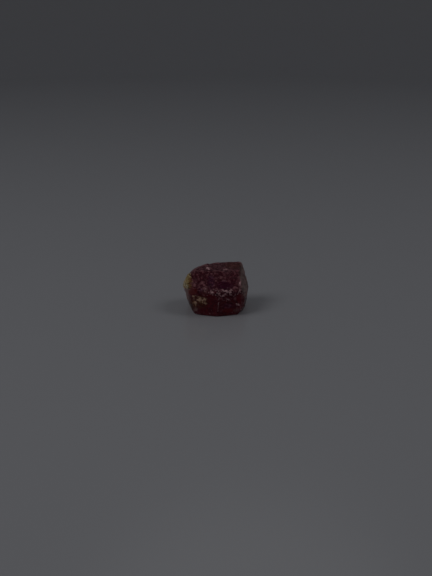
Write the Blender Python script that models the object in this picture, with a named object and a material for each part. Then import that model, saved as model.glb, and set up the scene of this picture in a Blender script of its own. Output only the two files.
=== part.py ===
"""Raw ruby crystal: one stubby, barrel-shaped chunk of corundum, as it came out of the ground.

The chunk is what is left between its faces. A block is cut back, face by face, to the short
hexagonal habit: steep prism faces round the foot, a ledge part way up the front, two roof faces
that lean back from it, and a nearly level top. Some edges and corners are broken off flat, the
skin has the low swell of natural faces, and the back carries two shell-shaped scars. It stands on
one flat face.

Metres, +Z up. The origin is at the bottom centre. -Y is the front, the side with the ledge.
"""
import math

import bmesh
import bpy
from mathutils import Matrix, Vector, noise

MM = 0.001

# ---------------------------------------------------------------- driving dimensions
FOOT_BELOW_CENTRE = 6.25 * MM   # the face distances below are measured from the crystal's centre
SKIN_STEP = 1.5 * MM            # longest edge of the skin that carries the swell
SWELL = 0.11 * MM               # depth of the low swell on a face, always inwards
SWELL_SIZE = 2.6 * MM           # distance from one swell to the next
FOOT_CALM = 0.5 * MM            # the swell fades out this close to the foot
SCAR_WANDER = 0.12              # how far a scar's bowl strays from round, as a share of its depth

# Name, azimuth and tilt of the outward normal in degrees, distance from the centre in mm.
# Azimuth 0 looks to the front (-Y) and +90 to the right (+X). Tilt is above the horizon.
FACES = (
    ("foot",                   0,  -90,   6.25),
    ("front prism left",     -14,   -4,   7.53),
    ("front far left",       -30,   -5,   8.23),
    ("front prism right",     15,   -6,   7.91),
    ("front right break",     22,    8,   7.83),
    ("right corner",          46,    3,   9.24),
    ("roof front",            -4,   61,   5.18),
    ("roof front right",      26,   56,   5.90),
    ("top",                    5,   84,   5.88),
    ("right roof",            80,   20,   8.62),
    ("right prism",           82,   -9,   9.65),
    ("left prism",           -78,  -16,   9.12),
    ("left shoulder",        -55,    9,   9.70),
    ("left roof low",        -90,   24,   9.88),
    ("left roof mid",       -103,   47,   9.20),
    ("left roof high",      -124,   66,   8.32),
    ("back upper",           188,   13,   8.15),
    ("back lower",           183,  -10,   7.51),
    ("back left prism",     -137,    5,   8.40),
    ("back right prism",     138,   -3,  10.91),
    ("foot corner right",     63,  -30,  10.49),
    ("foot corner left",     -66,  -36,  10.12),
    ("right back edge",      106,    7,  11.24),
)

# Flat breaks across edges and corners: azimuth and tilt of the break's normal in degrees, and how
# deep it lies under the outermost point that way, in mm.
BREAKS = (
    ("back right corner",  128, -24, 0.75),
    ("back left corner",  -152, -36, 0.60),
    ("back left edge",    -163,  26, 0.50),
    ("back right edge",    160,  -6, 0.45),
    ("left back edge",    -110, -12, 0.40),
    ("back right tip",     150,  38, 0.30),
)

# Shell-shaped scars on the broken back: azimuth and tilt of the blow in degrees, radius and
# depth of the bowl in mm.
SCARS = (
    ("middle",            188,   7, 3.00, 0.36),
    ("left",             -141,   2, 2.10, 0.24),
)


def normal_of(azimuth, tilt):
    a, t = math.radians(azimuth), math.radians(tilt)
    return Vector((math.cos(t) * math.sin(a), -math.cos(t) * math.cos(a), math.sin(t)))


CENTRE = Vector((0.0, 0.0, FOOT_BELOW_CENTRE))
PLANES = {name: (normal_of(az, tilt), d * MM) for name, az, tilt, d in FACES}


def cut_plane(bm, point, normal):
    """Cuts away what lies beyond a plane, and closes the cut with one flat face."""
    cut = bmesh.ops.bisect_plane(
        bm,
        geom=bm.verts[:] + bm.edges[:] + bm.faces[:],
        dist=1e-8,
        plane_co=point,
        plane_no=normal,
        clear_outer=True,
    )
    rim = [e for e in cut["geom_cut"] if isinstance(e, bmesh.types.BMEdge)]
    if rim:
        bmesh.ops.contextual_create(bm, geom=rim)


def cut_faces(bm):
    """Cuts a block back to each crystal face in turn, then breaks its weakest edges."""
    bmesh.ops.create_cube(bm, size=60 * MM, matrix=Matrix.Translation(CENTRE))
    for normal, distance in PLANES.values():
        cut_plane(bm, CENTRE + normal * distance, normal)
    for _, azimuth, tilt, depth in BREAKS:
        normal = normal_of(azimuth, tilt)
        outermost = max((v.co - CENTRE).dot(normal) for v in bm.verts)
        cut_plane(bm, CENTRE + normal * (outermost - depth * MM), normal)


def refine_skin(bm):
    """Splits the skin until no edge is longer than SKIN_STEP. The foot keeps its one flat face."""
    foot = [f for f in bm.faces if f.normal.z < -0.999]
    rest = [f for f in bm.faces if f not in foot]
    bmesh.ops.triangulate(bm, faces=rest, quad_method="BEAUTY", ngon_method="BEAUTY")
    for _ in range(6):
        rim = {e for f in bm.faces if f.normal.z < -0.999 for e in f.edges}
        long_edges = [
            e for e in bm.edges if e not in rim and e.calc_length() > SKIN_STEP
        ]
        if not long_edges:
            break
        bmesh.ops.subdivide_edges(bm, edges=long_edges, cuts=1, use_grid_fill=False)
        faces = [f for f in bm.faces if len(f.verts) > 3 and f.normal.z > -0.999]
        bmesh.ops.triangulate(bm, faces=faces, quad_method="BEAUTY", ngon_method="BEAUTY")
        flat = [
            e
            for e in bm.edges
            if len(e.link_faces) == 2
            and e.calc_face_angle() < 0.02
            and all(len(f.verts) == 3 for f in e.link_faces)
        ]
        bmesh.ops.beautify_fill(
            bm, faces=[f for f in bm.faces if len(f.verts) == 3], edges=flat
        )


def swell_skin(bm):
    """The low, uneven swell of natural faces: broad hollows with finer ones inside them."""
    bm.normal_update()
    moves = {}
    for v in bm.verts:
        calm = min(1.0, max(0.0, (v.co.z - 0.02 * MM) / FOOT_CALM))
        if calm == 0.0:
            continue
        p = v.co / SWELL_SIZE
        broad = noise.noise(p + Vector((3.1, 7.7, 1.3)))
        fine = noise.noise(p * 2.3 + Vector((11.0, 2.0, 5.0)))
        depth = min(1.0, max(0.0, 0.40 + 0.75 * broad + 0.35 * fine))
        moves[v] = v.normal * (-SWELL * calm * depth)
    for v, move in moves.items():
        v.co += move


def material(name, colour, roughness, transmission):
    made = bpy.data.materials.new(name)
    made.use_nodes = True
    shader = made.node_tree.nodes["Principled BSDF"]
    shader.inputs["Base Color"].default_value = (*colour, 1.0)
    shader.inputs["Roughness"].default_value = roughness
    shader.inputs["Metallic"].default_value = 0.0
    shader.inputs["IOR"].default_value = 1.77
    shader.inputs["Transmission Weight"].default_value = transmission
    return made


def reach(direction):
    """Distance from the centre to the skin along a direction."""
    return min(
        distance / direction.dot(normal)
        for normal, distance in PLANES.values()
        if direction.dot(normal) > 1e-6
    )


def scar_cutter(name, azimuth, tilt, radius, depth):
    """The round-bottomed tool that bites one scar: a slightly uneven ball, cut off outside."""
    blow = normal_of(azimuth, tilt)
    ball = (radius * radius + depth * depth) / (2 * depth) * MM
    middle = CENTRE + blow * (reach(blow) - depth * MM + ball)
    bm = bmesh.new()
    bmesh.ops.create_icosphere(
        bm, subdivisions=5, radius=ball, matrix=Matrix.Translation(middle)
    )
    for v in bm.verts:
        wander = noise.noise(v.co / (1.1 * MM) + Vector((azimuth, tilt, 0.5)))
        v.co += (v.co - middle).normalized() * (wander * SCAR_WANDER * depth * MM)
    cut_plane(bm, CENTRE + blow * (reach(blow) + 1.5 * MM), blow)
    bmesh.ops.recalc_face_normals(bm, faces=bm.faces[:])
    mesh = bpy.data.meshes.new("scar " + name)
    bm.to_mesh(mesh)
    bm.free()
    cutter = bpy.data.objects.new("scar " + name, mesh)
    cutter.hide_render = True
    cutter.display_type = "WIRE"
    bpy.context.scene.collection.objects.link(cutter)
    return cutter


def main():
    for obj in list(bpy.data.objects):
        bpy.data.objects.remove(obj, do_unlink=True)

    bm = bmesh.new()
    cut_faces(bm)
    refine_skin(bm)
    swell_skin(bm)
    bmesh.ops.recalc_face_normals(bm, faces=bm.faces[:])
    mesh = bpy.data.meshes.new("ruby_crystal")
    bm.to_mesh(mesh)
    bm.free()
    mesh.materials.append(material("ruby", (0.045, 0.012, 0.016), 0.38, 0.35))
    crystal = bpy.data.objects.new("ruby_crystal", mesh)
    bpy.context.scene.collection.objects.link(crystal)

    # the middle of the crystal's outline comes over the origin
    xs = [v.co.x for v in mesh.vertices]
    ys = [v.co.y for v in mesh.vertices]
    stand = Vector((-(min(xs) + max(xs)) / 2, -(min(ys) + max(ys)) / 2, 0.0))
    crystal.location = stand

    for name, azimuth, tilt, radius, depth in SCARS:
        modifier = crystal.modifiers.new("scar " + name, "BOOLEAN")
        modifier.operation = "DIFFERENCE"
        modifier.solver = "EXACT"
        modifier.object = scar_cutter(name, azimuth, tilt, radius, depth)
        modifier.object.location = stand


main()
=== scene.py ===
"""Looks of the raw ruby crystal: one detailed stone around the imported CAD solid, on a plain pale floor."""
import math

import bpy
import numpy as np
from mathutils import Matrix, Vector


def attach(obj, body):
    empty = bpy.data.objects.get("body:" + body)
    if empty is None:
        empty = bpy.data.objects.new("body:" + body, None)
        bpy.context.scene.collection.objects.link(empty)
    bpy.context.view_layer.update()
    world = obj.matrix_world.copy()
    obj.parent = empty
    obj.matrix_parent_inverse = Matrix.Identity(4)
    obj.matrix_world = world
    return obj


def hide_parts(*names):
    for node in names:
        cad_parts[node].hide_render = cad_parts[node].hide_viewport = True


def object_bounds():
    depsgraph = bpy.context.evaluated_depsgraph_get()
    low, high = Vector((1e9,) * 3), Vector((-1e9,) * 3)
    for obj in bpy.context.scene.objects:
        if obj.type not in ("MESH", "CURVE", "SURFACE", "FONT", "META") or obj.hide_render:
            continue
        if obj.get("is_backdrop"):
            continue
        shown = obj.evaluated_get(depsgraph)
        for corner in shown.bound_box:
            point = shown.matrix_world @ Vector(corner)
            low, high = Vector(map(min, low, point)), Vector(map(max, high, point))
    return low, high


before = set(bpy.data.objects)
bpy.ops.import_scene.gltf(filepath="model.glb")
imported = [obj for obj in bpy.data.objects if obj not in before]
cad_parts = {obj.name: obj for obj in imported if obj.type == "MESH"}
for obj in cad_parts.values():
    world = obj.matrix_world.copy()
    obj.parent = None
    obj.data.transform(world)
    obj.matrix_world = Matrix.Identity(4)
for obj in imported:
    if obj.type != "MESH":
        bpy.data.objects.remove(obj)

import openvdb
from mathutils import Vector

MM = 0.001
low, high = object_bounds()
CAD_BOX = [list(low), list(high)]

# ------------------------------------------------------------------ the stone's shape, as in part.py
FOOT = 6.25                      # mm from the crystal's centre down to the foot
STAND = np.array([-0.057, -0.2275, FOOT])   # the centre's place in the row frame, mm

# name: azimuth, tilt (degrees), distance from the centre (mm)
FACES = {
    "foot": (0, -90, 6.25),
    "front prism left": (-14, -4, 7.53),
    "front far left": (-30, -5, 8.23),
    "front prism right": (15, -6, 7.91),
    "front right break": (22, 8, 7.83),
    "right corner": (46, 3, 9.24),
    "roof front": (-4, 61, 5.18),
    "roof front right": (26, 56, 5.90),
    "top": (5, 84, 5.88),
    "right roof": (80, 20, 8.62),
    "right prism": (82, -9, 9.65),
    "left prism": (-78, -16, 9.12),
    "left shoulder": (-55, 9, 9.70),
    "left roof low": (-90, 24, 9.88),
    "left roof mid": (-103, 47, 9.20),
    "left roof high": (-124, 66, 8.32),
    "back upper": (188, 13, 8.15),
    "back lower": (183, -10, 7.51),
    "back left prism": (-137, 5, 8.40),
    "back right prism": (138, -3, 10.91),
    "foot corner right": (63, -30, 10.49),
    "foot corner left": (-66, -36, 10.12),
    "right back edge": (106, 7, 11.24),
    "back right corner": (128, -24, 11.872),
    "back left corner": (-152, -36, 9.975),
    "back left edge": (-163, 26, 8.801),
    "back right edge": (160, -6, 9.632),
    "left back edge": (-110, -12, 10.316),
    "back right tip": (150, 38, 12.411),
}
NAMES = list(FACES)
INDEX = {n: i for i, n in enumerate(NAMES)}


def normal_of(azimuth, tilt):
    a, t = math.radians(azimuth), math.radians(tilt)
    return np.array([math.cos(t) * math.sin(a), -math.cos(t) * math.cos(a), math.sin(t)])


NORMALS = np.array([normal_of(a, t) for a, t, _ in FACES.values()])
REACH = np.array([d for _, _, d in FACES.values()])

# ------------------------------------------------------------------ camera, at the photograph's angle
CAM_TILT = 20.0                  # degrees above the horizon
CAM_FAR = 276.9                  # mm from the aim point
AIM = np.array([0.0, -0.03, 0.31])   # mm from the crystal's centre
BACK = np.array([0.0, -math.cos(math.radians(CAM_TILT)), math.sin(math.radians(CAM_TILT))])
UP = np.array([0.0, math.sin(math.radians(CAM_TILT)), math.cos(math.radians(CAM_TILT))])
EYE = AIM + CAM_FAR * BACK
PIXELS = 886.0                   # focal length in pixels of the 432 x 576 frame


def spot(u, v):
    """Where the line of sight through pixel (u, v) meets the flat-faced stone, mm from its centre."""
    ray = np.array([(u - 216.0) / PIXELS, 0, 0]) - UP * ((v - 288.5) / PIXELS) - BACK
    ray /= np.linalg.norm(ray)
    facing = NORMALS @ ray
    t = (REACH - NORMALS @ EYE) / facing
    return EYE + ray * t[facing < -1e-9].max()


# ------------------------------------------------------------------ seeded noise, for whole arrays of points
def lattice(ix, iy, iz, seed):
    h = (
        ix.astype(np.uint32) * np.uint32(374761393)
        + iy.astype(np.uint32) * np.uint32(668265263)
        + iz.astype(np.uint32) * np.uint32(2246822519)
        + np.uint32(seed * 974711 + 12345)
    )
    h = (h ^ (h >> np.uint32(15))) * np.uint32(2246822519)
    h = (h ^ (h >> np.uint32(13))) * np.uint32(3266489917)
    return h ^ (h >> np.uint32(16))


def perlin(p, seed=0):
    """Gradient noise, about -0.7 to 0.7, one feature per unit."""
    i = np.floor(p).astype(np.int64)
    f = p - i
    w = f * f * f * (f * (f * 6 - 15) + 10)
    total = np.zeros(len(p))
    for dx in (0, 1):
        for dy in (0, 1):
            for dz in (0, 1):
                h = lattice(i[:, 0] + dx, i[:, 1] + dy, i[:, 2] + dz, seed)
                g = (
                    ((h & np.uint32(1023)) / 511.5 - 1) * (f[:, 0] - dx)
                    + (((h >> np.uint32(10)) & np.uint32(1023)) / 511.5 - 1) * (f[:, 1] - dy)
                    + (((h >> np.uint32(20)) & np.uint32(1023)) / 511.5 - 1) * (f[:, 2] - dz)
                )
                total += (
                    g
                    * (w[:, 0] if dx else 1 - w[:, 0])
                    * (w[:, 1] if dy else 1 - w[:, 1])
                    * (w[:, 2] if dz else 1 - w[:, 2])
                )
    return total


def fbm(p, octaves=4, gain=0.5, seed=0):
    total, size = np.zeros(len(p)), 1.0
    for k in range(octaves):
        total += size * perlin(p * 2.03**k + 17.3 * k, seed + k)
        size *= gain
    return total


def ridged(p, octaves=3, gain=0.5, seed=0):
    """0 in the valleys, up to 1 along thin crests."""
    total, size, whole = np.zeros(len(p)), 1.0, 0.0
    for k in range(octaves):
        total += size * (1 - np.abs(perlin(p * 2.1**k + 9.1 * k, seed + k)) * 2.2).clip(0, 1) ** 2
        whole += size
        size *= gain
    return total / whole


def frames(count, seed):
    """Seeded random sets of three square axes."""
    made = []
    dice = np.random.RandomState(seed)
    for _ in range(count):
        q, _ = np.linalg.qr(dice.normal(size=(3, 3)))
        made.append(q)
    return np.array(made)


BLOCK_AXES = frames(32, 7)


def blocks(p, seed=0):
    """Overlapping little blunt crystals: height of the tallest (about -0.5 to 0.7) and its own number 0 to 1."""
    base = np.floor(p).astype(np.int64)
    best = np.full(len(p), -9.0)
    own = np.zeros(len(p))
    for dx in (-1, 0, 1):
        for dy in (-1, 0, 1):
            for dz in (-1, 0, 1):
                c = base + (dx, dy, dz)
                h = lattice(c[:, 0], c[:, 1], c[:, 2], seed)
                q = np.stack([h & np.uint32(1023), (h >> np.uint32(10)) & np.uint32(1023), (h >> np.uint32(20)) & np.uint32(1023)], 1)
                d = p - c - q / 1023.0
                axes = BLOCK_AXES[(h >> np.uint32(5)) % np.uint32(32)]
                turned = np.abs(np.einsum("nij,nj->ni", axes, d))
                level = ((h >> np.uint32(12)) % np.uint32(509) / 508.0 - 0.5) * 0.5
                tall = 0.7 + level - np.maximum(np.maximum(turned[:, 0], turned[:, 1] * 0.85), turned[:, 2] * 1.2)
                take = tall > best
                best = np.where(take, tall, best)
                own = np.where(take, (h >> np.uint32(9)) % np.uint32(997) / 996.0, own)
    return best, own


def chance(a, b, c, seed):
    """A fixed random number 0 to 1 for each triple of whole numbers."""
    return (lattice(a.astype(np.int64), b.astype(np.int64), c.astype(np.int64), seed) % np.uint32(8191)) / 8190.0


def layers(p, way, across, spacing, length, seed, bend=0.12):
    """Broken layers of a parting that runs square to way. Gives each layer's level, -1 to 1, and the distance to its border in layers."""
    way, across = np.array(way, float), np.array(across, float)
    way /= np.linalg.norm(way)
    across -= way * (across @ way)
    across /= np.linalg.norm(across)
    other = np.cross(way, across)
    q = p @ way / spacing + bend * perlin(p / 2.2, seed) + 0.35 * perlin(np.stack([p @ way / spacing / 3, p @ way * 0, p @ way * 0], 1), seed + 1)
    number = np.floor(q)
    shift = chance(number, number * 0, number * 0, seed + 2)
    s = p @ across / length + 9 * shift + 0.25 * perlin(p / 0.9, seed + 3)
    t = p @ other / (length * 1.3) + 5 * shift + 0.25 * perlin(p / 0.9, seed + 4)
    level = 2 * chance(number, np.floor(s), np.floor(t), seed + 5) - 1
    border = np.minimum(q - number, 1 - (q - number))
    return level, border


def carve(p, outward, place, facing, radius, depth):
    """How far a point moves inwards to clear a ball that is sunk depth into the surface at place, mm."""
    d = p - (place + facing * (radius - depth))
    along = (outward * d).sum(1)
    room = along**2 - ((d * d).sum(1) - radius**2)
    inside = ((d * d).sum(1) < radius**2) & (room > 0)
    return np.where(inside, along + np.sqrt(room.clip(0, None)), 0.0).clip(0, 1.2)


def smooth(x, a, b):
    t = ((x - a) / (b - a)).clip(0, 1)
    return t * t * (3 - 2 * t)


# ------------------------------------------------------------------ the skin, from a distance field
VOXEL = 0.122                    # mm
WEAR = 0.09                      # mm, how far a worn edge is rounded
SCARS = (                        # azimuth, tilt, reach of the skin that way, radius of the ball, depth of the bowl
    (188, 7, 7.884, 12.680, 0.36),
    (-141, 2, 8.432, 9.308, 0.24),
)


def field(p):
    """Signed distance in mm to the stone with worn edges and its two scars. Negative inside."""
    total = np.zeros(len(p), np.float32)
    top = np.full(len(p), -1e9, np.float32)
    each = []
    for n, d in zip(NORMALS.astype(np.float32), REACH.astype(np.float32)):
        s = p @ n - d
        each.append(s)
        np.maximum(top, s, out=top)
    for s in each:
        total += np.exp(((s - top) / WEAR).clip(-30, 0))
    skin = top + WEAR * np.log(total)
    for azimuth, tilt, reach, ball, depth in SCARS:
        middle = normal_of(azimuth, tilt) * (reach - depth + ball)
        skin = np.maximum(skin, ball - np.linalg.norm(p - middle.astype(np.float32), axis=1))
    return np.maximum(skin, -FOOT - p[:, 2])


def skin_mesh():
    """Vertices (mm from the centre) and quads of the skin."""
    box = np.array([11.0, 9.2, 7.3])
    counts = np.ceil(2 * box / VOXEL).astype(int)
    xs, ys, zs = [(np.arange(n) - n / 2 + 0.37) * VOXEL for n in counts]
    values = np.empty(counts, np.float32)
    plane = np.stack(np.meshgrid(ys, zs, indexing="ij"), -1).reshape(-1, 2)
    for i, x in enumerate(xs):
        p = np.column_stack([np.full(len(plane), x), plane]).astype(np.float32)
        values[i] = field(p).reshape(counts[1], counts[2])
    grid = openvdb.FloatGrid(background=float(3 * VOXEL))
    grid.copyFromArray(values.clip(-3 * VOXEL, 3 * VOXEL), tolerance=0.0)
    points, triangles, quads = grid.convertToPolygons(isovalue=0.0, adaptivity=0.0)
    points = np.asarray(points, np.float64) * VOXEL + [xs[0], ys[0], zs[0]]
    return points, np.asarray(quads)


skin, quads = skin_mesh()

# ------------------------------------------------------------------ which facet each point lies on
over = skin @ NORMALS.T - REACH
ranked = np.argsort(over, axis=1)
first, second = ranked[:, -1], ranked[:, -2]
rows = np.arange(len(skin))
weight = np.exp((over - over[rows, first][:, None]) / 0.25)
weight /= weight.sum(1, keepdims=True)
outward = weight @ NORMALS
outward /= np.linalg.norm(outward, axis=1, keepdims=True)
corner = np.degrees(np.arccos((NORMALS[first] * NORMALS[second]).sum(1).clip(-1, 1)))
to_edge = (over[rows, first] - over[rows, second]) / np.sin(np.radians(corner.clip(8, 90)))   # mm along the facet
sharp = smooth(corner, 8, 40)    # 0 at a faint edge, 1 at a strong one
lift = skin[:, 2] + FOOT         # mm above the foot
calm = smooth(lift, 0.05, 0.7)   # relief fades out at the foot, which stays flat


def on(*names):
    return weight[:, [INDEX[n] for n in names]].sum(1)


# ------------------------------------------------------------------ strokes, placed as seen at the photograph's angle
right_of = skin[:, 0] - EYE[0]
up_of = (skin - EYE) @ UP
deep_of = -(skin - EYE) @ BACK
seen = smooth((outward * (EYE - skin) / np.linalg.norm(EYE - skin, axis=1)[:, None]).sum(1), -0.02, 0.06)
U = 216.0 + PIXELS * right_of / deep_of + 0.9 * perlin(skin / 0.7, 901) + 0.5 * perlin(skin / 0.3, 902)
V = 288.5 - PIXELS * up_of / deep_of + 0.9 * perlin(skin / 0.7, 903) + 0.5 * perlin(skin / 0.3, 904)


def dab(u, v, ru, rv, turn=0.0, soft=0.3):
    """A soft-edged ellipse."""
    c, s = math.cos(math.radians(turn)), math.sin(math.radians(turn))
    x, y = U - u, V - v
    q = np.hypot((x * c + y * s) / ru, (-x * s + y * c) / rv)
    return seen * (1 - smooth(q, 1 - soft, 1 + soft))


def line(width, *track, soft=0.35):
    """A stroke along straight runs from point to point."""
    best = np.full(len(skin), 99.0)
    for (u0, v0), (u1, v1) in zip(track, track[1:]):
        du, dv = u1 - u0, v1 - v0
        t = (((U - u0) * du + (V - v0) * dv) / (du * du + dv * dv)).clip(0, 1)
        best = np.minimum(best, np.hypot(U - u0 - t * du, V - v0 - t * dv))
    return seen * (1 - smooth(best / width, 1 - soft, 1 + soft))


def most(*masks):
    return np.max(masks, axis=0)


def bead(u, v, size):
    """A small round place in space about pixel (u, v), with a ragged border."""
    d = np.linalg.norm(skin - spot(u, v), axis=1) / size
    return 1 - smooth(d + 0.5 * perlin(skin / 0.4, 79), 0.6, 1.3)


def ball(u, v, size):
    """A soft round patch in space about the place at pixel (u, v): it carries on round the corner."""
    d = np.linalg.norm(skin - spot(u, v), axis=1) / size
    return 1 - smooth(d + 0.35 * perlin(skin / 1.3, 77) + 0.2 * perlin(skin / 0.5, 78), 0.75, 1.15)


# ------------------------------------------------------------------ relief, in mm along the outward direction
roof = on("roof front", "roof front right")
crown = on("top", "left roof high")
left_side = on("left shoulder", "left roof low", "left roof mid", "left prism", "left back edge", "foot corner left")
front_left = on("front far left")
front_calm = on("front prism left")
front_low = on("front prism right", "right corner", "foot corner right")
ledge_zone = on("front right break")
right_side = on("right roof", "right prism", "right back edge")
back_side = on("back upper", "back lower", "back left prism", "back right prism", "back right corner",
               "back left corner", "back left edge", "back right edge", "back right tip")
hidden = 1 - seen

big_blocks, big_own = blocks(skin / 0.95 + 3.1, 11)
small_blocks, small_own = blocks(skin / 0.46 + 8.7, 12)
coarse = fbm(skin / 2.6, 3, 0.5, 21)
middling = fbm(skin / 0.9, 3, 0.55, 31)
fine = fbm(skin / 0.34, 2, 0.5, 41)
crests = ridged(skin / 1.5, 3, 0.5, 51)
upright, upright_border = layers(skin, (1, 0.12, 0.06), (0, 0, 1), 0.50, 2.4, 111)
level_a, level_a_border = layers(skin, (0.05, 0.28, 1), (1, 0, 0), 0.62, 3.2, 121)
level_b, _ = layers(skin, (0.75, 0.55, 0.45), (0, 1, 0), 0.85, 2.8, 131)
slant, _ = layers(skin, (0.37, 0.15, 0.93), (1, 0, -0.4), 0.50, 1.5, 161)
patchy = smooth(fbm(skin / 2.4 + 5, 2, 0.5, 141), -0.15, 0.25)
patchy_b = smooth(fbm(skin / 2.0 + 9, 2, 0.5, 142), -0.05, 0.3)

ribs_a, _ = layers(skin, (0.04, 0.10, 1), (1, 0, 0), 0.36, 5.0, 171, bend=0.04)
hollow = dab(224.5, 285.5, 7.0, 3.6, 0, 0.45)
clean_left = dab(192.6, 291.3, 4.4, 3.4, 0, 0.4)

relief = np.zeros(len(skin))
big_blocks -= big_blocks.mean()
small_blocks -= small_blocks.mean()
relief += roof * (1 - 0.85 * hollow) * (0.32 * big_blocks + 0.09 * small_blocks + 0.04 * middling + 0.015 * fine)
relief += crown * (0.17 * big_blocks + 0.09 * small_blocks + 0.05 * upright * patchy + 0.03 * middling)
relief += ledge_zone * (0.22 * big_blocks + 0.08 * (crests - crests.mean()) + 0.10 * slant + 0.03 * fine)
relief += front_low * (0.036 * middling + 0.008 * fine + 0.034 * ribs_a + 0.045 * level_a * patchy + 0.05 * small_blocks * smooth(middling, 0.05, 0.3))
relief += front_calm * (0.022 * middling + 0.006 * fine + 0.034 * ribs_a + 0.026 * upright * patchy + 0.05 * small_blocks * smooth(coarse, 0.10, 0.35))
relief += front_left * (1 - 0.8 * clean_left) * (0.16 * small_blocks + 0.05 * middling + 0.02 * fine)
relief += left_side * (0.20 * big_blocks + 0.10 * small_blocks + 0.05 * middling)
relief += right_side * (0.060 * middling + 0.020 * fine + 0.10 * level_a * patchy + 0.080 * level_b * patchy_b + 0.12 * small_blocks * (1 - patchy) + 0.15 * big_blocks)
relief += back_side * (0.085 * level_a * patchy + 0.060 * level_b * patchy_b + 0.12 * big_blocks * (1 - patchy) + 0.025 * ribs_a + 0.030 * middling + 0.010 * fine)
relief += 0.10 * coarse * (1 - front_calm) * (1 - 0.5 * hollow)
relief -= 0.30 * hollow

# chips along the edges, and a few shallow shell-shaped breaks on the faces
dice = np.random.RandomState(20)
edge_points = np.flatnonzero((to_edge < 0.08) & (sharp > 0.55) & (lift > 0.4))
bites = np.zeros(len(skin))
for k in dice.choice(edge_points, 150, replace=False):
    radius, depth = dice.uniform(0.35, 1.5), dice.uniform(0.05, 0.26)
    tip = outward[k] + dice.normal(size=3) * 0.25
    bites = np.maximum(bites, carve(skin, outward, skin[k], tip / np.linalg.norm(tip), radius, depth))
shells = np.zeros(len(skin))
face_points = np.flatnonzero((to_edge > 0.8) & (lift > 1.0) & (hidden > 0.9))
for k in dice.choice(face_points, 14, replace=False):
    radius, depth = dice.uniform(2.0, 5.0), dice.uniform(0.08, 0.22)
    tip = outward[k] + dice.normal(size=3) * 0.10
    dig = carve(skin, outward, skin[k], tip / np.linalg.norm(tip), radius, depth)
    ribs = np.sin(np.linalg.norm(skin - skin[k] - 0.8 * dice.normal(size=3), axis=1) / 0.30)
    shells = np.maximum(shells, dig * (1 + 0.12 * ribs))
broken = smooth(np.maximum(bites, shells), 0.01, 0.06)
relief = relief * (1 - 0.75 * broken) - bites - shells

# the broken ledge between the roof and the front
relief += 0.20 * line(1.5, (208, 291.5), (213, 292), (219, 293), (223, 290.2), (230, 292.3), (241, 291))
ragged = smooth(0.35 * perlin(skin / 0.42, 151) - 0.8 * small_blocks, -0.30, 0.10)
# small pits and cracks, cut shallowly into the relief and darkened in colour as painted shade
pits = most(
    line(0.8, (214.6, 294.6), (217.6, 294.9)), line(0.8, (223.6, 288.4), (226.2, 289.0)), line(0.8, (236.2, 289.2), (239.0, 292.2)),
    line(0.8, (223.4, 299.2), (225.6, 300.4)), line(0.8, (226.6, 302.0), (229.0, 302.8)), line(0.8, (230.0, 303.2), (232.6, 303.6)),
    line(0.9, (235.0, 301.2), (237.2, 302.4)), line(0.9, (200.2, 294.2), (202.6, 296.0)), line(1.1, (197.6, 290.4), (199.2, 292.8)),
    dab(210.4, 285.0, 1.1, 1.9, -12),
)
pits = pits * ragged
relief -= 0.13 * pits

# ------------------------------------------------------------------ crust: host rock still clinging to the stone
lumps, lumps_own = blocks(skin / 0.50 + 1.7, 211)
lumps -= lumps.mean()
grit, grit_own = blocks(skin / 0.24 + 4.1, 212)
grit -= grit.mean()
gold = most(0.9 * ball(184.6, 281.5, 2.2), dab(186.6, 280.3, 3.6, 8.0, 0, 0.25), 0.62 * dab(188.6, 281.0, 3.4, 7.6, 0, 0.4), 1.3 * dab(188.5, 286.4, 2.2, 1.8, 0, 0.4), 0.7 * dab(189.6, 274.4, 1.5, 1.5, 0, 0.4))
tan_ground = dab(199.2, 302.0, 8.4, 6.2, 0, 0.4)
bright_gold = dab(187.9, 286.2, 1.9, 1.7, 0, 0.5)
cream_spots = most(dab(199.7, 299.6, 1.1, 1.6, 0, 0.7), dab(203.6, 302.4, 1.3, 1.1, 0, 0.7), dab(195.4, 303.4, 1.5, 1.2, 0, 0.7))
tan_heart = most(
    0.85 * dab(200.4, 299.6, 1.9, 3.6, 8, 0.6), 0.80 * dab(205.2, 301.0, 2.6, 3.8, -12, 0.6), 1.15 * dab(195.3, 303.6, 2.3, 1.7, 12, 0.6), 0.9 * dab(199.4, 300.0, 1.7, 2.4, 20, 0.6), 0.95 * dab(203.4, 301.2, 2.0, 2.4, 35, 0.6),
    0.60 * dab(193.6, 296.2, 3.4, 1.6, -10, 0.7), 0.35 * tan_ground, 0.95 * cream_spots,
) * (1 - 0.95 * dab(200.4, 306.2, 3.6, 1.9, 0, 0.4)) * (1 - 0.8 * dab(198.6, 304.4, 1.5, 1.2, 0, 0.5)) * (1 - 0.8 * dab(207.0, 301.2, 1.3, 1.8, 0, 0.6)) * (1 - 0.6 * dab(195.6, 299.6, 1.6, 1.2, 0, 0.6))
stray = smooth(fbm(skin / 2.6 + 40, 3, 0.5, 91), 0.26, 0.42) * hidden
density = most(1.05 * gold, 1.05 * tan_heart * (0.92 + 0.7 * perlin(skin / 0.85, 85)), stray * (1.0 * back_side + 1.0 * left_side + 0.5 * right_side))
grain_here = smooth(density - np.where(tan_ground > gold, 0.45 * lumps_own + 0.55 * grit_own, lumps_own), -0.02, 0.05)
on_crust = grain_here * smooth(density, 0.12, 0.3)
crust = on_crust * smooth(lumps + 0.6 * density, -0.10, 0.12)
relief += on_crust * (0.24 * lumps + 0.10 * grit + 0.09)

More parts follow.
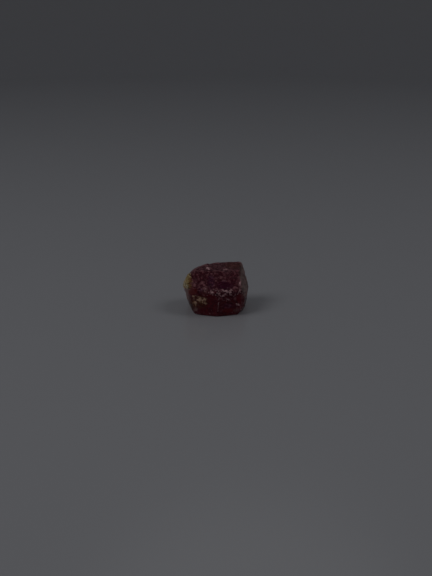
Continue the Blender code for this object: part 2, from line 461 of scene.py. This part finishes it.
glint_rise = most(
    line(1.2, (240.3, 281.7), (240.3, 285.0)), dab(240.1, 291.1, 1.5, 1.2), line(1.2, (222.6, 290.3), (227.6, 291.3), (232.0, 292.9)),
    dab(219.1, 293.3, 1.8, 1.0), dab(211.9, 292.1, 2.0, 1.4), line(1.0, (222.0, 296.4), (224.7, 294.3)), dab(228.1, 299.3, 2.2, 1.2),
    line(1.0, (236.7, 303.8), (239.8, 304.5)),
)
beads = most(bead(207.6, 268.2, 0.62), bead(209.0, 269.4, 0.42), bead(226.3, 269.6, 0.46), bead(224.0, 270.2, 0.40))
relief += glint_rise * (0.22 * small_blocks + 0.01) + 0.12 * beads
relief *= calm
relief = relief.clip(-0.8, 0.25)
shape = skin + outward * relief[:, None]
shape[:, 2] = np.maximum(shape[:, 2], -FOOT)
inside_low = (np.array(CAD_BOX[0]) / MM - STAND) + 0.01
inside_high = (np.array(CAD_BOX[1]) / MM - STAND) - 0.01
inside_low[2] = -FOOT
shape = shape.clip(inside_low, inside_high)

# ------------------------------------------------------------------ what the surface is made of, point by point, with painted highlights, sheen, glow and shade
# crests lighter and hollows darker, following the relief: partly frosted wear, partly painted highlight and shade
high_spots = 1.0 * big_blocks + 0.38 * small_blocks + 0.5 * middling + 0.3 * coarse + 0.15 * fine
crest = smooth(high_spots, -0.42, 0.55) * (1 - 0.6 * hollow)
quiet = smooth(fbm(skin / 2.2 + 60, 3, 0.5, 98), -0.05, 0.30)
crest = crest * (1 - 0.45 * quiet) + 0.12 * quiet
# painted sheen: the top faces are made lighter, as if catching light from behind
crest = crest * (1 - 0.30 * crown) + 0.21 * crown
crest = np.maximum(crest, 0.55 * smooth(upright, 0.2, 0.9) * crown) * (1 - 0.8 * tan_ground) * (1 - 0.14 * dab(236, 276, 7, 11, 0, 0.6))
# spots made lighter; the first stroke, along the upper left outline, is a painted rim light
lighter = most(
    0.95 * line(1.3, (191.5, 270.8), (196.8, 267.8), (200.5, 265.9), (205.0, 264.8), soft=0.6), 1.0 * dab(221.2, 277.4, 2.2, 2.0, 0, 0.6),
    1.0 * dab(235.2, 287.9, 3.4, 1.9, 0, 0.6), 0.95 * dab(192.2, 281.0, 1.4, 2.8, 0, 0.6), 0.9 * dab(227.4, 272.8, 1.6, 1.3, 0, 0.6), 0.8 * dab(195.8, 282.2, 1.5, 1.2, 0, 0.6), 0.8 * dab(194.2, 277.0, 1.4, 1.3, 0, 0.6), 0.8 * dab(209.2, 271.6, 1.4, 1.3, 0, 0.6), 0.6 * dab(223.4, 296.2, 2.0, 1.3, 0, 0.6),
    0.5 * dab(225.4, 307.2, 1.6, 1.2, 0, 0.6), 0.5 * dab(197.0, 277.0, 1.8, 1.4, 0, 0.6), 0.6 * dab(230.2, 299.4, 2.2, 1.2, 20, 0.6),
)
darker = most(
    0.8 * dab(224.0, 292.8, 2.0, 0.8, 0, 0.6), 0.6 * dab(238.2, 290.2, 1.2, 1.2, 0, 0.6),
    dab(203.3, 280.2, 1.9, 1.6, 0, 0.6), dab(236.2, 280.0, 3.2, 1.6, 0, 0.6), 0.9 * line(1.5, (238.4, 264.5), (239.4, 274.5), soft=0.6),
    dab(236.9, 290.4, 1.4, 1.9, 0, 0.5), dab(223.0, 288.6, 2.6, 1.2, 8, 0.5), 0.7 * dab(197.4, 273.6, 2.0, 1.2, 0, 0.6), 0.6 * dab(229.8, 277.5, 1.4, 2.2, 0, 0.6),
)
crest = np.maximum(crest * (1 - 0.75 * darker), lighter * (0.80 + 0.4 * small_blocks + 0.3 * fine).clip(0, 1))
# painted sparkle highlights on the tops of the little crystals
sparks = smooth(small_blocks + 0.4 * big_blocks, 0.20, 0.34) * smooth(perlin(skin / 1.1, 83), -0.1, 0.25)
polished = most(0.95 * front_calm, 0.8 * front_low, 0.9 * hollow, 0.7 * clean_left, 0.75 * right_side * smooth(-lift, -6.5, -4.5), hidden * (back_side + left_side) * (0.45 + 0.40 * smooth(fbm(skin / 2.4 + 5, 3, 0.5, 141), -0.35, 0.45)))
edge_wear = sharp * (1 - smooth(to_edge, 0.02, 0.26)) * smooth(perlin(skin / 0.8, 81) + 0.5 * perlin(skin / 0.3, 82), -0.15, 0.25)
rims = smooth(bites, 0.005, 0.03) * (1 - smooth(bites, 0.05, 0.12))

# painted highlights: glints off small facets, painted in as pale pink spots and strokes
glints = most(
    line(0.9, (240.3, 281.9), (240.3, 284.8)), 1.0 * dab(240.1, 291.6, 1.3, 1.1, 0, 0.6),
    1.15 * line(0.95, (224.6, 291.4), (227.4, 291.8), (230.8, 292.5), soft=0.6), 0.7 * dab(219.1, 293.3, 1.6, 0.8, 0, 0.6),
    1.1 * dab(211.8, 292.3, 1.7, 1.2, 0, 0.6), 0.85 * dab(223.2, 295.6, 2.0, 1.2, -30, 0.7), 0.80 * dab(228.0, 299.6, 2.2, 1.0, 15, 0.7),
    0.45 * dab(231.0, 301.7, 1.2, 0.7, 0, 0.6), 1.1 * dab(237.8, 304.4, 2.0, 1.1, 20, 0.6), 0.3 * dab(225.0, 307.0, 1.6, 0.6, 0, 0.7),
    1.05 * bead(207.6, 268.2, 0.62), 0.95 * bead(209.0, 269.4, 0.42), 1.0 * bead(226.3, 269.6, 0.46), 0.9 * bead(224.0, 270.2, 0.40),
    0.28 * line(0.6, (221.4, 264.5), (221.4, 270.0)), 0.32 * line(0.6, (229.6, 266.0), (229.6, 271.2)), 0.30 * line(1.0, (226.0, 274.0), (235.0, 273.6), soft=0.7),
)
broken_band = line(3.0, (204, 291.5), (212, 292.5), (223, 292.5), (231, 293), (240, 291.5), soft=0.6)
# a pale line down the front edge: partly edge wear, partly a painted highlight
front_edge = seen * on("front prism left", "front prism right") * (INDEX["front prism left"] == np.minimum(first, second)) * (INDEX["front prism right"] == np.maximum(first, second))
front_edge = front_edge * (1 - smooth(to_edge + 0.05 * perlin(skin / 0.35, 87), 0.05, 0.17)) * smooth(perlin(skin / 0.7, 88), -0.45, -0.05) * (0.62 + 0.38 * (V < 305)) * (V > 297.5) * (V < 312)
# the painted glints, broken into flecks
flakes = glints * (0.92 + 0.9 * small_blocks + 0.7 * fine + 0.75 * (small_own - 0.5) + 0.5 * (grit_own - 0.5))
# pale fragments on the broken ledge: partly fresh chips, partly painted highlights
chips = smooth((0.75 * broken_band + 0.82 * ledge_zone * seen * smooth(perlin(skin / 1.3, 86), -0.25, 0.25)) - 0.9 * small_own, 0.02, 0.16)
film = smooth(perlin(skin * [1.9, 1.9, 1.1], 93) + 0.6 * perlin(skin / 0.28, 94), 0.0, 0.35)
pale_film = most(dab(241.6, 276.2, 1.2, 2.0, 0, 0.6), 0.8 * dab(242.6, 270.5, 1.1, 2.6, 0, 0.6))
# a painted highlight streak along the ledge
streak = 0.85 * line(0.75, (223.4, 290.9), (227.0, 291.5), (231.0, 292.6), soft=0.6) * (0.9 + 0.6 * fine)
# real chips, worn edges and rims, together with painted glints, sparkles and highlight streaks
frost = most(flakes, streak, 1.0 * front_edge, 0.66 * chips * smooth(small_blocks, -0.06, 0.12), 0.45 * sparks,
             0.60 * edge_wear * (1 - 0.5 * front_calm), 0.45 * rims, 0.22 * dab(205.5, 288, 3.0, 4.2), 0.30 * lighter) * (1 - 0.85 * darker)
violet = most(dab(211, 282, 3.4, 6.5, 0, 0.5), 0.8 * dab(200.6, 290.6, 2.4, 2.2, 0, 0.5), 0.9 * dab(224.5, 285.5, 7.5, 4.2, 0, 0.5), 0.6 * dab(229, 305.8, 6.5, 2.4, 0, 0.5),
              0.7 * smooth(fbm(skin / 3.0 + 7, 3, 0.5, 95), -0.05, 0.55) * hidden)
# glassy, see-through places, where a red glow of light passing through is also painted into the colour
glow = most(clean_left, 0.9 * dab(228, 310.3, 5.0, 2.0, 0, 0.5), 0.30 * front_calm * seen * (1 - 0.6 * patchy), 0.25 * front_low * seen * patchy,
            0.6 * dab(239, 299, 2.5, 5.0, 0, 0.6), 0.7 * smooth(fbm(skin / 3.6 + 3, 3, 0.5, 96), -0.10, 0.50) * hidden, 0.5 * broken * hidden)
# grey film on abraded sides; on the right side, seen edge-on, it also stands for painted sheen reflecting the pale
# surroundings
grey = most(0.9 * pale_film * right_side, right_side * (1 - 0.62 * film) * (1 - 0.75 * dab(242.0, 290.6, 1.4, 2.4, 0, 0.5)) * (0.50 + 0.50 * smooth(big_blocks + 0.8 * small_blocks + 0.5 * middling + 0.3 * level_a, -0.40, 0.10)) * smooth(lift + 2.2 * coarse + 1.2 * middling, 3.6, 6.4), 0.8 * on("left prism", "left shoulder", "foot corner left") * seen * smooth(lift + 1.5 * coarse, 2.2, 6.0),
            0.22 * dab(236.2, 310.4, 3.0, 2.0, 0, 0.5), 0.60 * dab(195.7, 309.2, 2.2, 1.7, 0, 0.5), 0.15 * dab(205.0, 291.0, 3.4, 3.4, 0, 0.6), 0.40 * hidden * smooth(fbm(skin / 2.2 + 30, 4, 0.6, 97) + 0.4 * sharp * (1 - smooth(to_edge, 0.0, 1.2)), 0.10, 0.70))
stain = most(0.9 * line(1.5, (190.8, 279.0), (190.0, 284.0), (190.6, 288.0)), 0.85 * dab(191.4, 304.5, 3.2, 6.0, 0, 0.6), 0.25 * clean_left, 1.0 * tan_ground * smooth(perlin(skin / 0.7, 84), -0.55, 0.0) * (1 - 0.40 * crust * smooth(tan_heart, 0.4, 0.8)),
             0.9 * line(0.9, (198.2, 301.6), (198.6, 304.0), (201.4, 305.4)), 0.42 * dab(233.5, 265.5, 8.0, 3.2, 0, 0.6),
             0.5 * smooth(density, 0.10, 0.4) * hidden, 0.35 * hidden * smooth(fbm(skin / 2.5 + 70, 3, 0.5, 99), 0.10, 0.45))
moss = 0.5 + 0.5 * fbm(skin / 1.6 + 80, 3, 0.55, 89)
# soil round the crust, and given spots along the right edge and at the lower left darkened towards near-black
dirt = most(0.95 * dab(191.6, 306.0, 1.7, 6.0, -6, 0.5), 0.9 * dab(198.7, 304.6, 1.4, 1.3, 0, 0.6), 0.8 * dab(201.4, 306.3, 2.4, 1.2, 0, 0.6), 0.8 * dab(196.4, 300.2, 1.4, 1.2, 0, 0.6), 0.7 * line(0.7, (240.2, 264.0), (240.6, 274.0), soft=0.6), 0.55 * dab(245.4, 284.9, 1.3, 1.0, 0, 0.6), 0.45 * dab(244.0, 276.6, 0.9, 1.6, 0, 0.6), 0.75 * dab(242.1, 290.9, 1.3, 2.4, 0, 0.6), 0.45 * dab(241.8, 282.9, 0.9, 1.6, 0, 0.6), 0.45 * dab(244.2, 289.2, 1.0, 1.0, 0, 0.6), 0.45 * tan_ground * (1 - crust), 0.7 * smooth(density, 0.2, 0.5) * (1 - crust) * hidden)


def mesh_object(name, points, faces, **layers):
    mesh = bpy.data.meshes.new(name)
    mesh.vertices.add(len(points))
    mesh.vertices.foreach_set("co", ((points + STAND) * MM).astype(np.float32).ravel())
    mesh.loops.add(faces.size)
    mesh.loops.foreach_set("vertex_index", faces.astype(np.int32).ravel())
    mesh.polygons.add(len(faces))
    mesh.polygons.foreach_set("loop_start", np.arange(0, faces.size, 4, dtype=np.int32))
    mesh.update(calc_edges=True)
    mesh.polygons.foreach_set("use_smooth", np.ones(len(faces), bool))
    for layer, values in layers.items():
        mesh.attributes.new(layer, "FLOAT", "POINT").data.foreach_set("value", values.clip(0, 1).astype(np.float32))
    mesh.validate()
    mesh.update()
    thing = bpy.data.objects.new(name, mesh)
    bpy.context.scene.collection.objects.link(thing)
    return thing


def outside_volume(points, faces):
    a, b, c, d = (points[faces[:, k]] for k in range(4))
    return (np.einsum("ij,ij->i", a, np.cross(b, c)) + np.einsum("ij,ij->i", a, np.cross(c, d))).sum() / 6


if outside_volume(shape, quads) < 0:
    quads = quads[:, ::-1]

stone = mesh_object(
    "ruby_stone", shape, quads,
    crest=crest, frost=frost, crust=crust, gold=gold, lump=0.5 + lumps, tone=(0.6 * lumps_own + 0.4 * grit_own) * (1 - 0.3 * gold) * (1 - 0.45 * cream_spots) * (1 - 0.4 * bright_gold) + 0.34 * gold * seen * smooth(U, 184.8, 188.6) * smooth(V, 272, 277) * (1 - bright_gold), pit=pits, polished=polished, violet=violet, glow=glow, grey=grey, dirt=dirt, stain=stain, moss=moss,
)


# ------------------------------------------------------------------ materials
class Nodes:
    """Short words for building a node tree."""

    def __init__(self, material):
        self.tree = material.node_tree
        self.tree.nodes.clear()

    def add(self, kind, **values):
        made = self.tree.nodes.new(kind)
        for key, value in values.items():
            if hasattr(made, key):
                setattr(made, key, value)
            else:
                self.put(value, made.inputs[key.replace("_", " ").title() if key not in made.inputs else key])
        return made

    def put(self, value, socket):
        if isinstance(value, bpy.types.NodeSocket):
            self.tree.links.new(value, socket)
        else:
            socket.default_value = value

    def layer(self, name):
        made = self.tree.nodes.new("ShaderNodeAttribute")
        made.attribute_name = name
        return made.outputs["Fac"]

    def math(self, operation, a, b=0.0, c=0.0, clamp=False):
        made = self.tree.nodes.new("ShaderNodeMath")
        made.operation, made.use_clamp = operation, clamp
        for value, socket in zip((a, b, c), made.inputs):
            self.put(value, socket)
        return made.outputs[0]

    def step(self, value, low, high, to_low=0.0, to_high=1.0):
        made = self.tree.nodes.new("ShaderNodeMapRange")
        made.interpolation_type = "SMOOTHSTEP"
        for item, socket in zip((value, low, high, to_low, to_high), made.inputs):
            self.put(item, socket)
        return made.outputs[0]

    def mix(self, share, a, b):
        made = self.tree.nodes.new("ShaderNodeMix")
        made.data_type = "RGBA"
        for item, socket in ((share, 0), (a, 6), (b, 7)):
            self.put(item, made.inputs[socket])
        return made.outputs[2]

    def blend(self, share, a, b):
        made = self.tree.nodes.new("ShaderNodeMix")
        made.data_type = "FLOAT"
        for item, socket in ((share, 0), (a, 2), (b, 3)):
            self.put(item, made.inputs[socket])
        return made.outputs[0]

    def noise(self, coords, scale, detail=3.0, roughness=0.55, warp=0.0):
        made = self.tree.nodes.new("ShaderNodeTexNoise")
        self.put(coords, made.inputs["Vector"])
        for key, value in (("Scale", scale), ("Detail", detail), ("Roughness", roughness), ("Distortion", warp)):
            made.inputs[key].default_value = value
        return made.outputs["Fac"]


def rgb(r, g, b):
    return (r, g, b, 1.0)


DEEP = rgb(0.070, 0.007, 0.017)      # the stone in its hollows, darkened there also as painted shade
MAUVE = rgb(0.38, 0.165, 0.185)      # its bruised, frosted crests, lighter also as painted highlight
VIOLET = rgb(0.060, 0.009, 0.050)
LILAC = rgb(0.22, 0.10, 0.215)
WINE = rgb(0.044, 0.0012, 0.008)      # smooth clean faces
CLEAR = rgb(0.25, 0.007, 0.010)      # glassy red, also used for the painted glow
BLOOM = rgb(0.54, 0.370, 0.350)      # grey film on the abraded sides, and painted sheen on the grazing right side
MOSS = rgb(0.40, 0.355, 0.275)
FROST = rgb(0.93, 0.63, 0.64)        # fresh chips, and painted glints
ROSE = rgb(0.56, 0.28, 0.31)
TAN = rgb(0.75, 0.50, 0.35)
OCHRE = rgb(0.40, 0.23, 0.08)
OLIVE = rgb(0.29, 0.180, 0.055)
GOLD = rgb(0.60, 0.475, 0.245)
CREAM = rgb(0.78, 0.72, 0.52)
RUST = rgb(0.23, 0.085, 0.020)
SOIL = rgb(0.036, 0.014, 0.005)
UMBER = rgb(0.150, 0.044, 0.010)     # rusty brown stain
SHADE = rgb(0.022, 0.003, 0.006)     # inside cracks and crevices

ruby = bpy.data.materials.new("raw_ruby")
ruby.use_nodes = True
n = Nodes(ruby)
coords = n.add("ShaderNodeTexCoord").outputs["Object"]
grain = n.noise(coords, 6500.0, 4.0, 0.6)
speck = n.noise(coords, 22000.0, 3.0, 0.6)
cloud = n.noise(coords, 1300.0, 3.0, 0.5, 0.4)
veins = n.noise(coords, 2600.0, 4.0, 0.65, 1.2)

drawn = n.add("ShaderNodeMapping")
n.put(coords, drawn.inputs["Vector"])
drawn.inputs["Scale"].default_value = (1.0, 1.0, 0.07)
streaks = n.noise(drawn.outputs[0], 7000.0, 3.0, 0.6)


def parting(way, apart, seed_shift):
    """Straight hairlines square to way, broken up by noise."""
    along = n.tree.nodes.new("ShaderNodeVectorMath")
    along.operation = "DOT_PRODUCT"
    n.put(coords, along.inputs[0])
    along.inputs[1].default_value = [w / apart for w in way]
    waver = n.math("MULTIPLY", n.noise(coords, 180.0 + seed_shift, 2.0), 1.6)
    place = n.math("FRACT", n.math("ADD", along.outputs["Value"], waver))
    close = n.math("ABSOLUTE", n.math("SUBTRACT", place, 0.5))
    return n.math("MULTIPLY", n.step(close, 0.012, 0.05, 1.0, 0.0), n.step(n.noise(coords, 420.0 + seed_shift, 3.0), 0.52, 0.66))


lines = n.math("MAXIMUM", parting((0.37, 0.15, 0.92), 0.00062, 0.0), parting((0.80, -0.25, 0.55), 0.00105, 45.0))
rough_top = n.math("ADD", n.layer("crest"), n.math("MULTIPLY", n.math("SUBTRACT", grain, 0.5), 0.9))
crest_now = n.step(rough_top, 0.30, 1.15)
frost_now = n.step(n.math("ADD", n.layer("frost"), n.math("MULTIPLY", n.math("SUBTRACT", grain, 0.5), 0.9)), 0.25, 0.95)
crust_now = n.step(n.math("ADD", n.layer("crust"), n.math("MULTIPLY", n.math("SUBTRACT", grain, 0.5), 0.7)), 0.40, 0.62)
grey_now = n.math("MULTIPLY", n.layer("grey"), n.step(n.math("ADD", cloud, n.math("MULTIPLY", grain, 0.4)), 0.45, 0.95, 0.35, 1.0))
polish = n.layer("polished")
violet_now = n.math("MULTIPLY", n.layer("violet"), n.step(cloud, 0.30, 0.62, 0.2, 0.75))

colour = n.mix(crest_now, DEEP, MAUVE)
wine = n.mix(n.step(n.math("ADD", cloud, n.math("MULTIPLY", n.math("SUBTRACT", streaks, 0.5), 0.5)), 0.35, 0.75), WINE, n.mix(0.6, WINE, CLEAR))
colour = n.mix(polish, colour, wine)
colour = n.mix(violet_now, colour, n.mix(crest_now, VIOLET, LILAC))
# painted glow: glassy red colour stands in for light shining through
colour = n.mix(n.math("MULTIPLY", n.layer("glow"), 0.8), colour, CLEAR)
colour = n.mix(grey_now, colour, n.mix(n.step(n.math("ADD", n.layer("moss"), n.math("MULTIPLY", n.math("SUBTRACT", grain, 0.5), 0.6)), 0.2, 0.9), BLOOM, MOSS))
colour = n.mix(n.math("MULTIPLY", n.layer("stain"), 0.85), colour, UMBER)
# pale pink where there are chips and where glints are painted
colour = n.mix(frost_now, colour, n.mix(n.step(n.math("ADD", n.math("MULTIPLY", grain, 0.55), n.math("MULTIPLY", speck, 0.45)), 0.38, 0.60), ROSE, FROST))
golden = n.step(n.layer("gold"), 0.2, 0.8)
tone = n.math("ADD", n.layer("tone"), n.math("MULTIPLY", n.math("SUBTRACT", grain, 0.5), 0.5))
ore = n.mix(golden, n.mix(n.step(tone, 0.35, 0.75), TAN, OCHRE), n.mix(n.step(tone, 0.45, 0.80), n.mix(n.step(tone, 0.12, 0.42), CREAM, GOLD), OLIVE))
ore = n.mix(n.math("MAXIMUM", n.step(veins, 0.55, 0.74), n.math("MULTIPLY", n.step(n.layer("stain"), 0.45, 0.95), 0.8)), ore, RUST)
# the low places between the crust grains are darkened: painted shade in the gaps
ore = n.mix(n.step(n.layer("lump"), 0.25, 0.50, 0.75, 0.0), ore, SOIL)
ore = n.mix(n.step(speck, 0.55, 0.8, 0.0, 0.4), ore, SOIL)
colour = n.mix(n.math("MULTIPLY", n.layer("dirt"), 0.8), colour, SOIL)
# painted shade: pits and cracks darkened to near-black
colour = n.mix(n.math("MULTIPLY", n.layer("pit"), 0.7), colour, SHADE)
colour = n.mix(n.math("MULTIPLY", n.math("MULTIPLY", lines, polish), 0.35), colour, MAUVE)
colour = n.mix(crust_now, colour, ore)

roughness = n.blend(crest_now, 0.26, 0.46)
roughness = n.blend(polish, roughness, 0.15)
roughness = n.blend(n.layer("glow"), roughness, 0.13)
roughness = n.blend(grey_now, roughness, 0.60)
roughness = n.blend(frost_now, roughness, 0.26)
roughness = n.blend(crust_now, roughness, 0.88)

open_share = n.blend(crest_now, 0.22, 0.04)
open_share = n.blend(polish, open_share, 0.25)
open_share = n.blend(n.layer("glow"), open_share, 0.40)
for mask, keep in ((grey_now, 0.05), (frost_now, 0.0), (crust_now, 0.0)):
    open_share = n.blend(mask, open_share, keep)

height = n.math("ADD", n.math("MULTIPLY", grain, n.blend(polish, 0.7, 0.15)), n.math("MULTIPLY", speck, 0.25))
height = n.math("ADD", height, n.math("MULTIPLY", n.math("MULTIPLY", streaks, polish), 0.22))
height = n.math("SUBTRACT", height, n.math("MULTIPLY", lines, 0.35))
height = n.math("ADD", height, n.math("MULTIPLY", crust_now, n.math("ADD", 0.8, n.math("MULTIPLY", speck, 0.9))))
bump = n.add("ShaderNodeBump", Strength=0.6, Distance=0.00006, Height=height)

surface = n.add("ShaderNodeBsdfPrincipled")
for key, value in (
    ("Base Color", colour), ("Roughness", roughness), ("Transmission Weight", open_share), ("Normal", bump.outputs[0]),
    ("IOR", 1.76), ("Specular IOR Level", 0.28), ("Specular Tint", rgb(1.0, 0.32, 0.40)),
):
    n.put(value, surface.inputs[key])
inner = n.add("ShaderNodeVolumeAbsorption", Color=rgb(0.96, 0.06, 0.34), Density=750.0)
output = n.add("ShaderNodeOutputMaterial", Surface=surface.outputs[0], Volume=inner.outputs[0])
stone.data.materials.append(ruby)

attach(stone, "root")
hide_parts("ruby_crystal")

# ------------------------------------------------------------------ floor, light, camera
FLAT, REACH_OUT, RISE = 0.62, 1.0, 0.5     # metres: flat part, outer radius, height of the sweep
profile = [(r, 0.0) for r in np.linspace(0.0, FLAT, 20)]
for a in np.linspace(0.0, math.pi / 2, 25)[1:]:
    profile.append((FLAT + (REACH_OUT - FLAT) * math.sin(a), RISE * (1 - math.cos(a))))
ROUND = 128
floor_mesh = bpy.data.meshes.new("floor")
places = [(0.0, 0.0, 0.0)]
for r, z in profile[1:]:
    places += [(r * math.cos(2 * math.pi * k / ROUND), r * math.sin(2 * math.pi * k / ROUND), z) for k in range(ROUND)]
polygons = [(0, 1 + k, 1 + (k + 1) % ROUND) for k in range(ROUND)]
for j in range(len(profile) - 2):
    a, b = 1 + j * ROUND, 1 + (j + 1) * ROUND
    polygons += [(a + k, b + k, b + (k + 1) % ROUND, a + (k + 1) % ROUND) for k in range(ROUND)]
floor_mesh.from_pydata(places, [], polygons)
floor_mesh.polygons.foreach_set("use_smooth", [True] * len(polygons))
floor = bpy.data.objects.new("floor", floor_mesh)
floor.location.z = -0.00002
bpy.context.scene.collection.objects.link(floor)
pale = bpy.data.materials.new("pale_floor")
pale.use_nodes = True
paint = pale.node_tree.nodes["Principled BSDF"]
paint.inputs["Base Color"].default_value = rgb(0.575, 0.586, 0.626)
paint.inputs["Roughness"].default_value = 0.20
paint.inputs["Specular IOR Level"].default_value = 0.8
paint.inputs["IOR"].default_value = 1.75
floor_mesh.materials.append(pale)
floor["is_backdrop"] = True


def soft_light(name, azimuth, tilt, far, size, power):
    lamp = bpy.data.lights.new(name, "AREA")
    lamp.shape, lamp.size, lamp.energy = "DISK", size, power
    holder = bpy.data.objects.new(name, lamp)
    way = Vector(normal_of(azimuth, tilt))
    holder.location = way * far + Vector((0, 0, 0.006))
    holder.rotation_euler = way.to_track_quat("Z", "Y").to_euler()
    holder.visible_camera = False
    bpy.context.scene.collection.objects.link(holder)
    return holder


soft_light("left_light", -72, 48, 0.62, 0.31, 0.38)
soft_light("right_light", 84, 50, 0.62, 0.25, 0.212)
soft_light("back_light", 175, 54, 0.62, 0.34, 0.03)
world = bpy.data.worlds.new("studio")
world.use_nodes = True
world.node_tree.nodes["Background"].inputs["Color"].default_value = rgb(1.0, 1.0, 1.04)
world.node_tree.nodes["Background"].inputs["Strength"].default_value = 0.042
bpy.context.scene.world = world
bpy.context.scene.view_settings.view_transform = "Standard"
bpy.context.scene.view_settings.look = "None"

camera_data = bpy.data.cameras.new("camera")
camera_data.sensor_fit = "VERTICAL"
camera_data.sensor_height = 36.0
camera_data.lens = PIXELS / 576.0 * 36.0
camera_data.clip_start, camera_data.clip_end = 0.01, 20.0
camera = bpy.data.objects.new("camera", camera_data)
camera.location = Vector((EYE + STAND + UP * 0.5 * CAM_FAR / PIXELS) * MM)
camera.rotation_euler = Vector(BACK).to_track_quat("Z", "Y").to_euler()
bpy.context.scene.collection.objects.link(camera)
bpy.context.scene.camera = camera

low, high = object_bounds()
